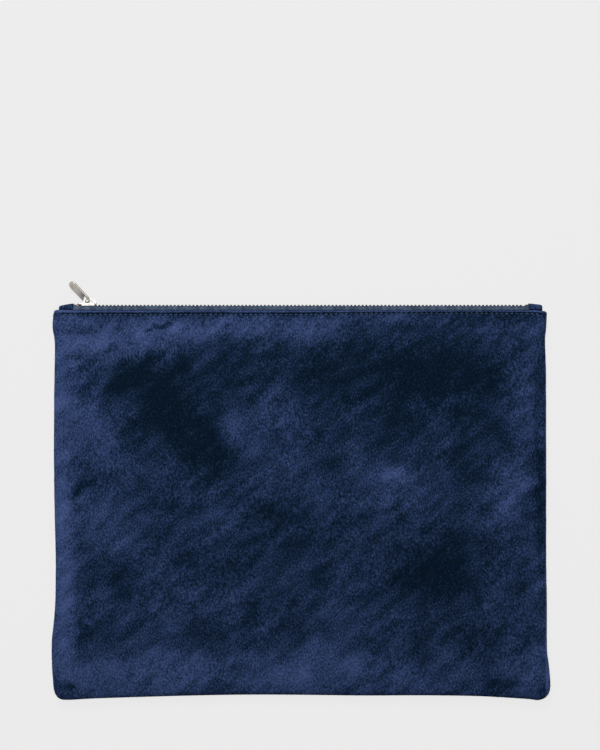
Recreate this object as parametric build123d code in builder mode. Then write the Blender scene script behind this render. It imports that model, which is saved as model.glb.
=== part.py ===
"""Flat suede pouch with a metal zip along its top edge, lying on its back.

+X runs along the zip, +Y from the bottom seam towards the zip, +Z up out of the front panel.
The origin is the centre of the back panel's outer face. Millimetres.
"""

from build123d import *
import os
from math import cos, floor, radians, sin

# Suede bag
panel_width = 327.0  # across the waist of the two side seams
panel_height = 256.4  # from the middle of the bottom seam to the front panel's folded edge
pouch_thickness = 8.0
suede = 1.2
top_flare = 0.9  # how far the top corners stand out beyond the waist, on each side
bottom_flare = 3.0
bottom_bow = 3.0  # how far the bottom corners hang below the middle of the bottom edge
waist_height = 25.0  # Y of the waist
corner_radius = 9.0
rim_radius = 3.0
seam_allowance = 7.0
hem_depth = 10.0

# Thread
stitch_pitch = 3.33
stitch_length = 2.5
thread_radius = 0.2
topstitch_inset = 2.8  # from the folded edge
topstitch_end = 4.5  # from the waist of the side seam to the end of the row
groove_width = 0.9
seam_inset = 1.5  # from the inner face of the rim

# Zip chain
tooth_pitch = 2.5
tooth_thickness = 1.15  # along the chain
tooth_reach = 2.95  # from the chain's centreline to the ends of the legs
tooth_half_height = 1.2
head_reach = 0.95  # how far each head passes the centreline
head_half_height = 0.95
cord_radius = 0.65
cord_offset = 1.95
cord_clearance = 0.03
tape = 0.5
tape_slot = 0.6  # between the legs of a tooth
chain_tilt = 8.0  # degrees, leaning back from the front panel
chain_height = 4.4  # Z of the chain's centreline
stop_length = 2.2
stop_gap = 0.2
tape_end_gap = 0.05  # from the wide part of the tape to the end tabs

# End tabs
tab_length = 9.0
tab_setback = 3.3  # from the waist of the side seam
tab_half_width = 3.7
tab_rise = 2.3  # above the chain's centreline
tab_round = 1.4
fold_gap = 0.03

# Slider
slider_length = 12.6
channel_clearance = 0.1  # from the teeth to the plates
flange_clearance = 0.15  # from the ends of the teeth to the flanges
flange = 0.5
flange_slot = 0.9
mouth_length = 3.1  # the wide end, where the flanges are cut away
top_plate = 0.8
bottom_plate = 0.6
wedge_length = 1.5
wedge_width = 1.4
wedge_gap = 0.2
tape_clearance = 0.2  # from the flanges to the tape
neck_clearance = 0.15  # from the bottom plate to the tape
slider_end_round = 1.6
lug_height = 0.4
lug_margin = 0.4
lug_clearance = 0.02

# Bail, the bridge over the slider
bail_thickness = 1.0
bail_width = 1.3
bail_left_foot = -2.0  # from the slider's middle
bail_right_foot = 5.5
bail_rise = 5.55  # centreline above the chain's centreline
bail_shoulder = 4.4
bail_shoulder_x = 5.0

# Pull
pull_length = 18.5
pull_thickness = 1.4
pull_root_radius = 3.1
pull_tip_radius = 3.3
pull_bar = 1.0  # the cross bar at the root
window_length = 3.8
window_width = 4.2
window_round = 0.5
panel_recess = 0.3
recess_start = 7.0
recess_width = 3.6
pull_edge_round = 0.35
pivot_x = 0.95  # from the slider's middle
pivot_rise = 3.6  # above the chain's centreline
pull_angle = 134.0  # degrees from +X, turning towards +Y
pull_twist = 52.0  # degrees about the pull's own length
pull_lift = 5.2  # degrees towards the front

# Chain frame: c points across the chain towards the front, n stands out of the pouch's mouth
tilt = radians(chain_tilt)
c_dir = Vector(0, sin(tilt), cos(tilt))
n_dir = Vector(0, cos(tilt), -sin(tilt))

# Heights of the layers
seam_z = pouch_thickness / 2
front_hem_z = pouch_thickness - 2 * suede
back_hem_z = 2 * suede
front_skirt_z = front_hem_z - tape / 2
back_skirt_z = back_hem_z + tape / 2

# Across the chain
plate_inner = tooth_half_height + channel_clearance
top_plate_outer = plate_inner + top_plate
bottom_plate_outer = plate_inner + bottom_plate
channel_half = tooth_reach + flange_clearance
slider_half = channel_half + flange
bend_c = slider_half + tape_clearance + tape / 2
neck_n = bottom_plate_outer + neck_clearance + tape / 2
neck_under = neck_n + tape / 2 + fold_gap  # how far below the centreline the folded edges lie


def neck_c(z, n):
    """Distance across the chain at which a line n from the centreline reaches height z."""
    return (z - chain_height + n * sin(tilt)) / cos(tilt)


def fold_drop(z):
    """How far the folded edge whose middle is at height z lies below the chain's centreline, along Y."""
    return neck_under * cos(tilt) - neck_c(z, -neck_under) * sin(tilt)


front_fold_y = panel_height / 2
chain_y = front_fold_y + fold_drop(pouch_thickness - suede)
back_fold_y = chain_y - fold_drop(suede)
chain_origin = Vector(0, chain_y, chain_height)
hem_bottom = back_fold_y - hem_depth
flange_top = hem_bottom - suede

# Along the chain
chain_half = panel_width / 2 - tab_setback - tab_length
slider_x = -chain_half + stop_length + stop_gap + slider_length / 2
first_tooth = slider_x - slider_length / 2 + wedge_length + wedge_gap + tooth_thickness / 2
last_room = chain_half - stop_length - stop_gap - tooth_thickness / 2 - tooth_pitch / 2
tooth_count = floor((last_room - first_tooth) / tooth_pitch) + 1


def chain_point(c, n):
    """World (Y, Z) of a point c across and n above the chain's centreline."""
    p = chain_origin + c_dir * c + n_dir * n
    return (p.Y, p.Z)


def chain_section(x):
    """Sketch plane across the chain: local x is c, local y is n. It extrudes towards -X."""
    return Plane(chain_origin + Vector(x, 0, 0), x_dir=c_dir, z_dir=(-1, 0, 0))


def chain_side(x, c=0.0):
    """Sketch plane along the chain: local x is X, local y is n. It extrudes towards the front."""
    return Plane(chain_origin + Vector(x, 0, 0) + c_dir * c, x_dir=(1, 0, 0), z_dir=c_dir)


def chain_plan(x, n):
    """Sketch plane parallel to the chain, n above its centreline. It extrudes outwards."""
    return Plane(chain_origin + Vector(x, 0, 0) + n_dir * n, x_dir=(1, 0, 0), z_dir=n_dir)


os.makedirs("parts", exist_ok=True)


def save(builder, name):
    builder.part.label = name
    export_step(builder.part, f"parts/{name}.step")


def bag_outline(inset, rise):
    """Outline of the bag from the front, moved in by inset on three sides and carried up by rise."""
    top = (panel_width / 2 + top_flare - inset, front_fold_y + rise)
    waist = (panel_width / 2 - inset, waist_height)
    corner = (panel_width / 2 + bottom_flare - inset, -panel_height / 2 - bottom_bow + inset)
    with BuildSketch() as face:
        with BuildLine():
            ThreePointArc(top, waist, corner)
            ThreePointArc(corner, (0, -panel_height / 2 + inset), (-corner[0], corner[1]))
            ThreePointArc((-corner[0], corner[1]), (-waist[0], waist[1]), (-top[0], top[1]))
            Line((-top[0], top[1]), top)
        make_face()
        fillet(face.vertices().group_by(Axis.Y)[0], radius=max(corner_radius - inset, suede))
    return face.sketch


def pillow(face, height, round_radius):
    """Slab on the seam plane with its rim rounded over on three sides."""
    with BuildPart() as slab:
        with BuildSketch(Plane.XY.offset(seam_z)):
            add(face)
        extrude(amount=height)
        rim_edges = slab.faces().sort_by(Axis.Z)[-1].edges().sort_by(Axis.Y)[:-1]
        fillet(rim_edges, radius=round_radius)
    return slab.part


def suede_panel(fold_y):
    """One suede panel in its front position: sheet, turned rim, seam allowance and folded hem."""
    with BuildPart() as panel:
        add(pillow(bag_outline(0, 0), pouch_thickness - seam_z, rim_radius))
        add(
            pillow(bag_outline(suede, rim_radius), pouch_thickness - seam_z - suede, rim_radius - suede),
            mode=Mode.SUBTRACT,
        )
        # Seam allowance, turned inwards along the sides and the bottom
        with BuildSketch(Plane.XY.offset(seam_z)):
            add(bag_outline(0, 0))
            add(bag_outline(suede + seam_allowance, rim_radius), mode=Mode.SUBTRACT)
            with Locations((0, flange_top)):
                Rectangle(
                    2 * panel_width, panel_height, align=(Align.CENTER, Align.MIN), mode=Mode.SUBTRACT
                )
        extrude(amount=suede)
        # Hem, folded in behind the top edge
        with BuildSketch(Plane.XY.offset(pouch_thickness - 2 * suede)):
            add(bag_outline(suede / 2, 0))
            with Locations((0, fold_y - hem_depth)):
                Rectangle(
                    2 * panel_width, 2 * panel_height, align=(Align.CENTER, Align.MAX), mode=Mode.SUBTRACT
                )
        extrude(amount=1.5 * suede)
        # Top edge: the fold is a half round, and the rim below it is cut level with its middle
        with BuildSketch(Plane.YZ):
            with Locations((fold_y - suede, pouch_thickness - suede)):
                Circle(suede)
            with Locations((fold_y - suede, seam_z)):
                Rectangle(2 * panel_height, pouch_thickness - seam_z, align=(Align.MAX, Align.MIN))
        extrude(amount=panel_width, both=True, mode=Mode.INTERSECT)
        # Groove pressed into the suede by the topstitching
        with BuildSketch(Plane.XY.offset(pouch_thickness)):
            with Locations((0, fold_y - topstitch_inset)):
                Rectangle(panel_width - 2 * topstitch_end + stitch_pitch, groove_width)
        extrude(amount=-2 * thread_radius, mode=Mode.SUBTRACT)
    return panel.part


with BuildPart() as front_panel:
    add(suede_panel(front_fold_y))
save(front_panel, "front_panel")

with BuildPart() as back_panel:
    add(mirror(suede_panel(back_fold_y), about=Plane.XY.offset(seam_z), mode=Mode.PRIVATE))
save(back_panel, "back_panel")


# Zip tapes: from the cord, out between the tooth legs, round the slider and down inside the hem
def tape_path(side, skirt_z):
    return [
        chain_point(side * cord_offset, 0),
        chain_point(side * bend_c, 0),
        chain_point(side * bend_c, -neck_n),
        chain_point(neck_c(skirt_z, -neck_n), -neck_n),
        (hem_bottom + tape, skirt_z),
    ]


def zip_tape(side, skirt_z):
    with BuildPart() as ribbon:
        with BuildSketch(Plane.YZ):
            with BuildLine():
                FilletPolyline(*tape_path(side, skirt_z), radius=0.9 * tape)
            trace(line_width=tape)
            with Locations(chain_point(side * cord_offset, 0)):
                Circle(cord_radius, mode=Mode.SUBTRACT)
        extrude(amount=chain_half - tape_end_gap, both=True)
        # Past the chain only the skirt goes on, beside the end tabs
        with BuildSketch(Plane.YZ):
            with Locations((hem_bottom + tape, skirt_z)):
                Rectangle(
                    back_fold_y - hem_bottom - tape, tape, align=(Align.MIN, Align.CENTER)
                )
        extrude(amount=chain_half + tab_length, both=True)
    return ribbon.part


with BuildPart() as front_tape:
    add(zip_tape(1, front_skirt_z))
save(front_tape, "front_tape")

with BuildPart() as back_tape:
    add(zip_tape(-1, back_skirt_z))
save(back_tape, "back_tape")


# Cords along the tape edges, which the teeth clamp
def edge_cord(side):
    with BuildPart() as cord:
        with BuildSketch(chain_section(0)):
            with Locations((side * cord_offset, 0)):
                Circle(cord_radius)
        extrude(amount=chain_half - tape_end_gap, both=True)
    return cord.part


with BuildPart() as front_cord:
    add(edge_cord(1))
save(front_cord, "front_cord")

with BuildPart() as back_cord:
    add(edge_cord(-1))
save(back_cord, "back_cord")


# Teeth
def clamp_cutout(side):
    """The hole for the cord and the slot for the tape, in the current sketch."""
    with Locations((side * cord_offset, 0)):
        Circle(cord_radius + cord_clearance, mode=Mode.SUBTRACT)
        Rectangle(
            2 * tooth_reach,
            tape_slot,
            align=(Align.MIN if side > 0 else Align.MAX, Align.CENTER),
            mode=Mode.SUBTRACT,
        )


def tooth(side, x):
    bevel = tooth_half_height - head_half_height
    shoulder = cord_offset - cord_radius
    half = [
        (-head_reach, 0),
        (-head_reach, head_half_height - bevel),
        (bevel - head_reach, head_half_height),
        (shoulder - 2 * bevel, head_half_height),
        (shoulder - bevel, tooth_half_height),
        (tooth_reach - bevel, tooth_half_height),
        (tooth_reach, tooth_half_height - bevel),
        (tooth_reach, 0),
    ]
    upper = [(side * c, n) for c, n in half]
    lower = [(side * c, -n) for c, n in half[1:-1]]
    with BuildPart() as one:
        with BuildSketch(chain_section(x)):
            with BuildLine():
                Polyline(*upper, *reversed(lower), close=True)
            make_face()
            clamp_cutout(side)
        extrude(amount=tooth_thickness / 2, both=True)
    return one.part


def tooth_row(side, start):
    with BuildPart() as row:
        with Locations(*[(i * tooth_pitch, 0, 0) for i in range(tooth_count)]):
            add(tooth(side, start))
    return row.part


with BuildPart() as front_teeth:
    add(tooth_row(1, first_tooth))
save(front_teeth, "front_teeth")

with BuildPart() as back_teeth:
    add(tooth_row(-1, first_tooth + tooth_pitch / 2))
save(back_teeth, "back_teeth")


# Top stops, one on each tape at the closed end
def top_stop(side):
    with BuildPart() as stop:
        with BuildSketch(chain_section(-chain_half + stop_gap / 2)):
            with Locations((side * (cord_offset - cord_radius - tape / 2), 0)):
                Rectangle(
                    tooth_reach - cord_offset + cord_radius + tape / 2,
                    2 * tooth_half_height,
                    align=(Align.MIN if side > 0 else Align.MAX, Align.CENTER),
                )
            clamp_cutout(side)
        extrude(amount=-(stop_length - stop_gap / 2))
    return stop.part


with BuildPart() as front_top_stop:
    add(top_stop(1))
save(front_top_stop, "front_top_stop")

with BuildPart() as back_top_stop:
    add(top_stop(-1))
save(back_top_stop, "back_top_stop")

# Bottom stop, one staple over both tapes
with BuildPart() as bottom_stop:
    with BuildSketch(chain_section(chain_half - stop_gap / 2)):
        Rectangle(2 * tooth_reach, 2 * tooth_half_height)
        clamp_cutout(1)
        clamp_cutout(-1)
    extrude(amount=stop_length - stop_gap / 2)
save(bottom_stop, "bottom_stop")


# End tabs: suede folded over the zip ends, with a stem sewn in between the tapes
def end_tab(side):
    outer_x = chain_half + tab_length
    with BuildPart() as tab:
        with BuildSketch(chain_section(side * (chain_half + tab_length / 2))):
            with Locations((0, -neck_under + 2 * fold_gap)):
                Rectangle(
                    2 * tab_half_width,
                    tab_rise + neck_under - 2 * fold_gap,
                    align=(Align.CENTER, Align.MIN),
                )
        extrude(amount=tab_length / 2, both=True)
        fillet(tab.edges().filter_by(Axis.X).sort_by(Axis.Y)[-2:], radius=tab_round)
        stem_gap = fold_gap
        with BuildSketch(Plane.YZ.offset(side * (chain_half + tab_length / 2))):
            with Locations((hem_bottom + 2 * tape, (front_skirt_z + back_skirt_z) / 2)):
                Rectangle(
                    chain_y - hem_bottom - 2 * tape,
                    front_skirt_z - back_skirt_z - tape - 2 * stem_gap,
                    align=(Align.MIN, Align.CENTER),
                )
        extrude(amount=tab_length / 2, both=True)
        outer_face = tab.faces().sort_by(Axis.X)[-1 if side > 0 else 0]
        fillet(
            outer_face.edges().filter_by_position(Axis.Y, chain_y, chain_y + 2 * tab_rise),
            radius=suede / 2,
        )
    return tab.part


with BuildPart() as left_end_tab:
    add(end_tab(-1))
save(left_end_tab, "left_end_tab")

with BuildPart() as right_end_tab:
    add(end_tab(1))
save(right_end_tab, "right_end_tab")


# Threads: straight rows through the hems, one on the outside and one on the tape's inner face
def stitches_along(half_length, y, z):
    """Planes at the middles of the stitches of a straight row along X."""
    count = floor(2 * half_length / stitch_pitch)
    start = -(count - 1) * stitch_pitch / 2
    return [Plane((start + i * stitch_pitch, y, z), z_dir=(1, 0, 0)) for i in range(count)]


topstitch_half = panel_width / 2 - topstitch_end
bobbin_half = chain_half - stitch_pitch
front_row_y = front_fold_y - topstitch_inset
back_row_y = back_fold_y - topstitch_inset

with BuildPart() as front_topstitch:
    with Locations(*stitches_along(topstitch_half, front_row_y, pouch_thickness - thread_radius)):
        Cylinder(thread_radius, stitch_length)
save(front_topstitch, "front_topstitch")

with BuildPart() as back_topstitch:
    with Locations(*stitches_along(topstitch_half, back_row_y, thread_radius)):
        Cylinder(thread_radius, stitch_length)
save(back_topstitch, "back_topstitch")

front_bobbin_z = front_skirt_z - tape / 2 - thread_radius
with BuildPart() as front_bobbin_thread:
    with Locations(*stitches_along(bobbin_half, front_row_y, front_bobbin_z)):
        Cylinder(thread_radius, stitch_length)
save(front_bobbin_thread, "front_bobbin_thread")

back_bobbin_z = back_skirt_z + tape / 2 + thread_radius
with BuildPart() as back_bobbin_thread:
    with Locations(*stitches_along(bobbin_half, back_row_y, back_bobbin_z)):
        Cylinder(thread_radius, stitch_length)
save(back_bobbin_thread, "back_bobbin_thread")


# One continuous seam down the left side, along the bottom and up the right side
def stitches_round(z):
    """Planes at the middles of the stitches along the three closed sides, at height z."""
    planes = []
    for edge in bag_outline(suede + seam_inset, 0).edges().sort_by(Axis.Y)[:-1]:
        count = floor(edge.length / stitch_pitch)
        for i in range(count):
            middle = edge.position_at((i + 0.5) / count)
            along = edge.tangent_at((i + 0.5) / count)
            if middle.Y < flange_top - stitch_pitch:
                planes.append(Plane((middle.X, middle.Y, z), z_dir=along))
    return planes


with BuildPart() as front_seam_thread:
    with Locations(*stitches_round(seam_z + suede + thread_radius)):
        Cylinder(thread_radius, stitch_length)
save(front_seam_thread, "front_seam_thread")

with BuildPart() as back_seam_thread:
    with Locations(*stitches_round(seam_z - suede - thread_radius)):
        Cylinder(thread_radius, stitch_length)
save(back_seam_thread, "back_seam_thread")


# Slider
wide_end = -slider_length / 2
with BuildPart() as slider_body:
    with BuildSketch(chain_section(slider_x)):
        with Locations((0, (top_plate_outer - bottom_plate_outer) / 2)):
            Rectangle(2 * slider_half, top_plate_outer + bottom_plate_outer)
        Rectangle(2 * channel_half, 2 * plate_inner, mode=Mode.SUBTRACT)
        Rectangle(4 * slider_half, flange_slot, mode=Mode.SUBTRACT)
    extrude(amount=slider_length / 2, both=True)
    # The flanges are cut away at the wide end
    with BuildSketch(chain_section(slider_x + wide_end)):
        Rectangle(4 * slider_half, 2 * plate_inner)
    extrude(amount=-mouth_length, mode=Mode.SUBTRACT)
    # Rounded ends, in plan
    with BuildSketch(chain_plan(slider_x, -bottom_plate_outer)) as plan:
        Rectangle(slider_length, 2 * slider_half)
        fillet(plan.vertices(), radius=slider_end_round)
    extrude(amount=top_plate_outer + bottom_plate_outer, mode=Mode.INTERSECT)
    # Wedge that joins the two plates and parts the teeth
    with BuildSketch(chain_plan(slider_x + wide_end, -plate_inner)):
        with Locations((0, 0)):
            RectangleRounded(
                wedge_length, wedge_width, wedge_width / 3, align=(Align.MIN, Align.CENTER)
            )
    extrude(amount=2 * plate_inner)
    outer_faces = slider_body.faces().filter_by(Plane(chain_origin, z_dir=n_dir)).sort_by(Axis.Y)
    fillet(outer_faces[-1].edges(), radius=top_plate / 3)
    # Lugs that hold the feet of the bail
    for foot in (bail_left_foot, bail_right_foot):
        foot_size = (bail_thickness + 2 * lug_margin, bail_width + 2 * lug_margin)
        socket_size = (bail_thickness + 2 * lug_clearance, bail_width + 2 * lug_clearance)
        with BuildSketch(chain_plan(slider_x + foot, top_plate_outer)):
            RectangleRounded(*foot_size, lug_margin)
            Rectangle(*socket_size, mode=Mode.SUBTRACT)
        extrude(amount=lug_height)
save(slider_body, "slider_body")

# Bail
bail_points = [
    (bail_left_foot, top_plate_outer),
    (bail_left_foot, bail_rise),
    ((bail_left_foot + bail_shoulder_x) / 2, bail_rise),
    (bail_shoulder_x, bail_shoulder),
    (bail_right_foot, lug_height + top_plate_outer),
    (bail_right_foot, top_plate_outer),
]
with BuildPart() as slider_bail:
    with BuildSketch(chain_side(slider_x)):
        with BuildLine():
            FilletPolyline(*bail_points, radius=(1.9, 1.6, 1.2, 0.6))
        trace(line_width=bail_thickness)
    extrude(amount=bail_width / 2, both=True)
save(slider_bail, "slider_bail")

# Pull, hooked through the bail and lying over to the closed end
pull_turn = radians(pull_angle)
twist = radians(pull_twist)
lift = radians(pull_lift)
in_plane = Vector(cos(pull_turn), 0, 0) + n_dir * sin(pull_turn)
across = Vector(sin(pull_turn), 0, 0) - n_dir * cos(pull_turn)
pull_dir = in_plane * cos(lift) + c_dir * sin(lift)
raised = c_dir * cos(lift) - in_plane * sin(lift)
pull_face = raised * cos(twist) - across * sin(twist)
pivot = chain_origin + Vector(slider_x + pivot_x, 0, 0) + n_dir * pivot_rise
pull_plane = Plane(pivot, x_dir=pull_dir, z_dir=pull_face)
root_end = -pull_bar / 2
with BuildPart() as pull_tab:
    with BuildSketch(pull_plane):
        with Locations((root_end + pull_root_radius, 0)):
            Circle(pull_root_radius)
        with Locations((root_end + pull_length - pull_tip_radius, 0)):
            Circle(pull_tip_radius)
        make_hull()
    extrude(amount=pull_thickness / 2, both=True)
    broad_faces = pull_tab.faces().sort_by(SortBy.AREA)[-2:]
    fillet(broad_faces.edges(), radius=pull_edge_round)
    with BuildSketch(pull_plane):
        with Locations((pull_bar / 2, 0)):
            RectangleRounded(window_length, window_width, window_round, align=(Align.MIN, Align.CENTER))
    extrude(amount=pull_thickness, both=True, mode=Mode.SUBTRACT)
    recess_end = root_end + pull_length - pull_tip_radius
    for side in (1, -1):
        with BuildSketch(pull_plane.offset(side * pull_thickness / 2)):
            with Locations(((recess_start + recess_end) / 2, 0)):
                SlotOverall(recess_end - recess_start + recess_width / 2, recess_width)
        extrude(amount=-side * panel_recess, mode=Mode.SUBTRACT)
save(pull_tab, "pull_tab")

travel = chain_half - stop_length - 2 * stop_gap - slider_length / 2 - slider_x
print("teeth in each row", tooth_count)
print("slider centre", round(slider_x, 3), "travel", round(travel, 3))
print("chain origin", [round(v, 3) for v in chain_origin])
print("pivot", [round(v, 3) for v in pivot])
print("folded edges", round(front_fold_y, 3), round(back_fold_y, 3))
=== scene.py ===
import random
from math import copysign, cos, pi, radians, sin, sqrt

import bpy
import bmesh
import numpy as np
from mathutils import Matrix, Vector, noise


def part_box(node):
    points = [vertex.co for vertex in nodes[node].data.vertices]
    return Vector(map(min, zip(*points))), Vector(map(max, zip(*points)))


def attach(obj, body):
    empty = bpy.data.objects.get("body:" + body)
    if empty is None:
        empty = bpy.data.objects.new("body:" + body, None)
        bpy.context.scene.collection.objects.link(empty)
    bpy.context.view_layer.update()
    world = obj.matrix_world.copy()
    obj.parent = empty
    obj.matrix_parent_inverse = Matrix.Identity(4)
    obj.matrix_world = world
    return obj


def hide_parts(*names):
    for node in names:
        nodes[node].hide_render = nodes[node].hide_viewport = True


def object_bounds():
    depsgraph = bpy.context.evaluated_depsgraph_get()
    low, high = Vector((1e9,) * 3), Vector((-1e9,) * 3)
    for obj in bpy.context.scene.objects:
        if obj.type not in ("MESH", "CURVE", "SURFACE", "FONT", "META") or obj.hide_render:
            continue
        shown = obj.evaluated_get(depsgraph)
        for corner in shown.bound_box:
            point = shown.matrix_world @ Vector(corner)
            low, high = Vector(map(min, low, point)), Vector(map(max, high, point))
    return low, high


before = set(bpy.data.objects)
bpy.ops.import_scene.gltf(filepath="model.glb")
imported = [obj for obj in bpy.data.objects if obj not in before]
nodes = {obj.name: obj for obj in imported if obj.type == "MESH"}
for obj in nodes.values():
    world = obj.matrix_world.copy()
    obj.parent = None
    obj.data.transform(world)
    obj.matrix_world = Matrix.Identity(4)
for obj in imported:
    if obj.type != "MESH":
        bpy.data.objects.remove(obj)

cadBox = [list(corner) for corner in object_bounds()]
mm = 0.001
print("frame loaded:", len(nodes), "parts")


# small tools used by every piece

def boxMiddle(node):
    low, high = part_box(node)
    return (low + high) / 2


# the chain leans a little, so it has axes of its own: across, towards the front, and out of the mouth
frontCordMiddle = boxMiddle("front_cord")
backCordMiddle = boxMiddle("back_cord")
chainMiddle = (frontCordMiddle + backCordMiddle) / 2
acrossAxis = (frontCordMiddle - backCordMiddle).normalized()
outAxis = acrossAxis.cross(Vector((1, 0, 0)))


def chainPoint(x, across, out):
    return Vector((x * mm, chainMiddle.y, chainMiddle.z)) + acrossAxis * across * mm + outAxis * out * mm


def smoothLine(points, perSpan=12):
    # a curve through every point
    pts = [np.array(p, float) for p in points]
    pts = [2 * pts[0] - pts[1]] + pts + [2 * pts[-1] - pts[-2]]
    line = []
    for before, a, b, after in zip(pts, pts[1:], pts[2:], pts[3:]):
        for t in np.arange(perSpan) / perSpan:
            line.append(0.5 * (2 * a + (b - before) * t + (2 * before - 5 * a + 4 * b - after) * t ** 2
                               + (3 * a - before - 3 * b + after) * t ** 3))
    line.append(pts[-2])
    return np.array(line)


def alongLine(line, shares):
    # points at these shares of the line's length
    steps = np.linalg.norm(np.diff(line, axis=0), axis=1)
    walked = np.concatenate([[0], np.cumsum(steps)]) / steps.sum()
    return np.stack([np.interp(shares, walked, line[:, i]) for i in range(line.shape[1])], axis=1)


def leftward(line):
    # unit vectors pointing to the left of the way the line runs
    ahead = np.gradient(line, axis=0)
    ahead /= np.linalg.norm(ahead, axis=1)[:, None]
    return np.stack([-ahead[:, 1], ahead[:, 0]], axis=1)


def smoothStep(value):
    value = np.clip(value, 0, 1)
    return value * value * (3 - 2 * value)


def ease(value, span):
    # from 0 to 1, beginning at the span's first number and over its second
    start, over = span
    return smoothStep((value - start) / over)


def bell(distance, width):
    # 1 in the middle, falling away smoothly on both sides
    return np.exp(-(distance / width) ** 2)


def turned(x, y, angle):
    # the same offsets along and across a direction given in degrees
    turn = radians(angle)
    return x * cos(turn) + y * sin(turn), y * cos(turn) - x * sin(turn)


def noiseAt(points, scale, seed, angle=0.0, ratio=1.0):
    # soft noise at (x, y) points in mm, finer by ratio across the given direction
    along, across = turned(points[:, 0], points[:, 1], angle)
    across = across * ratio
    # each seed looks at its own part of the noise
    shiftX, shiftY, level = seed * 37.1, seed * 11.7, seed * 5.3
    return np.array([noise.noise(Vector((a / scale + shiftX, b / scale + shiftY, level)))
                     for a, b in zip(along, across)])


def layers(points, table, seed=0):
    # soft noise summed from (length, seed, share)
    return sum(share * noiseAt(points, length, seed + more) for length, more, share in table)


def addObject(name, data):
    thing = bpy.data.objects.new(name, data)
    bpy.context.scene.collection.objects.link(thing)
    return thing


def meshPiece(name, verts, faces):
    mesh = bpy.data.meshes.new(name)
    mesh.from_pydata([tuple(v) for v in verts], [], faces)
    work = bmesh.new()
    work.from_mesh(mesh)
    bmesh.ops.recalc_face_normals(work, faces=work.faces)
    work.to_mesh(mesh)
    work.free()
    mesh.polygons.foreach_set("use_smooth", [True] * len(mesh.polygons))
    piece = addObject(name, mesh)
    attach(piece, "pouch")
    return piece


def tubeFaces(first, rows, sides):
    # quads between rings of equal size, with both ends closed
    faces = []
    for r in range(rows - 1):
        a = first + r * sides
        b = a + sides
        faces += [(a + k, a + (k + 1) % sides, b + (k + 1) % sides, b + k) for k in range(sides)]
    faces.append(tuple(first + k for k in reversed(range(sides))))
    faces.append(tuple(first + (rows - 1) * sides + k for k in range(sides)))
    return faces


def keepValue(piece, label, values):
    layer = piece.data.attributes.new(label, "FLOAT", "POINT")
    layer.data.foreach_set("value", np.clip(values, 0, 1).astype(np.float32))


# suede panels

pouchShape = {
    # the outline seen from the front, in mm: down the left side, along the bottom and up the right side
    "left": [(-164.9, 128.2), (-165.3, 117), (-163.9, 105), (-164.3, 75), (-164.5, 38), (-164.2, 2),
             (-163.3, -40), (-163.8, -70), (-165.8, -90), (-165.9, -104), (-165.1, -118)],
    "leftCorner": [(-164.1, -125.6), (-160.9, -129.9), (-154.5, -130.9)],
    "bottom": [(-133, -129.8), (-67, -127.9), (-20, -127.4), (40, -128.0), (79, -127.9),
               (117, -128.4), (149, -130.2)],
    "rightCorner": [(158, -131.0), (163.6, -128.4), (165.9, -122.5)],
    "right": [(165.0, -108), (163.7, -96), (163.6, -65), (163.2, -37), (163.2, 37), (163.0, 88),
              (162.4, 108), (163.1, 117), (163.6, 128.2)],
    "halfThick": 4.0,
    "rim": 3.0,  # how round the edge is
    "turn": 0.6,  # the sharper turn into the seam
    "seamGap": 0.7,  # from that turn to the flat of the seam allowance
    "flange": 7.2,
    "flangeEnd": (108, 8),  # the allowance is cut away from this y, over this distance
    "suede": 1.1, "hem": 10.0, "columns": 320,
    "fineRow": 0.36,  # rows of faces: this close together down to fineTo, then growing to rowStep
    "fineTo": 5.2, "rowGrowth": 0.16, "rowStep": 2.6, "rowsTo": 251, "foldRadius": 1.2,
    "foldSquare": 0.55,  # 1 is a half round, less is squarer
    "hemSides": (-164.2, 163.6),
    "hemTaper": 1.6,  # how much narrower the turned-in hem is at each side
    "wobble": (0.12, 5.5),  # sideways unevenness and its length
    "stretchFrom": 60,
    "cornerThin": 0.12,  # the suede's thickness there, as a share
    "cornerReach": (159.5, 2.5), "cornerTop": (121, 4), "stitchPitch": 3.33, "stitchCount": 95,
}
outline = smoothLine(pouchShape["left"] + pouchShape["leftCorner"] + pouchShape["bottom"]
                     + pouchShape["rightCorner"] + pouchShape["right"])

hemLine = {
    "lift": 0.35,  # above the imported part's fold
    "wander": 0.35,  # how far the edge wanders
    "waves": [(21, 4, 0.5), (47, 5, 0.6)],  # length, seed and share
    "low": 0.25,
    "follow": (104, 22),  # the face follows the edge from this y, over this distance
    "rightDrop": 0.4,  # the hem's right end sits lower
    "rightFrom": (151, 11), "middle": -0.6, "cornerRound": 1.5, "cornerFrom": (161, 3.2),
    "cornerPower": 2.4,
    "rowRise": 0.85,  # the stitches run closer to the fold on the right
    "rowRiseFrom": (-40, 110),
}


def foldShift(x):
    # the hem's edge wanders, sits lower at its right end and rounds off at both corners
    x = np.asarray(x, float)
    flat = np.column_stack([x, np.zeros_like(x)])
    drop = hemLine["rightDrop"] * ease(x, hemLine["rightFrom"])
    start, over = hemLine["cornerFrom"]
    past = np.clip((np.abs(x - hemLine["middle"]) - start) / over, 0, 1.1)
    rounding = hemLine["cornerRound"] * past ** hemLine["cornerPower"]
    return hemLine["wander"] * (layers(flat, hemLine["waves"]) - hemLine["low"]) - drop - rounding


def rowRise(x):
    return hemLine["rowRise"] * ease(np.asarray(x, float), hemLine["rowRiseFrom"])


def hemEdge(node):
    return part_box(node)[1].y / mm + hemLine["lift"]


def panelRows():
    # distances below the fold as shares, close together where the stitches are
    fine, fineTo = pouchShape["fineRow"], pouchShape["fineTo"]
    rows = [0.0]
    while rows[-1] < fineTo:
        rows.append(rows[-1] + fine)
    while rows[-1] < pouchShape["rowsTo"]:
        growing = fine + (rows[-1] - fineTo) * pouchShape["rowGrowth"]
        rows.append(rows[-1] + min(pouchShape["rowStep"], growing))
    return np.array(rows) / rows[-1]


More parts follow.
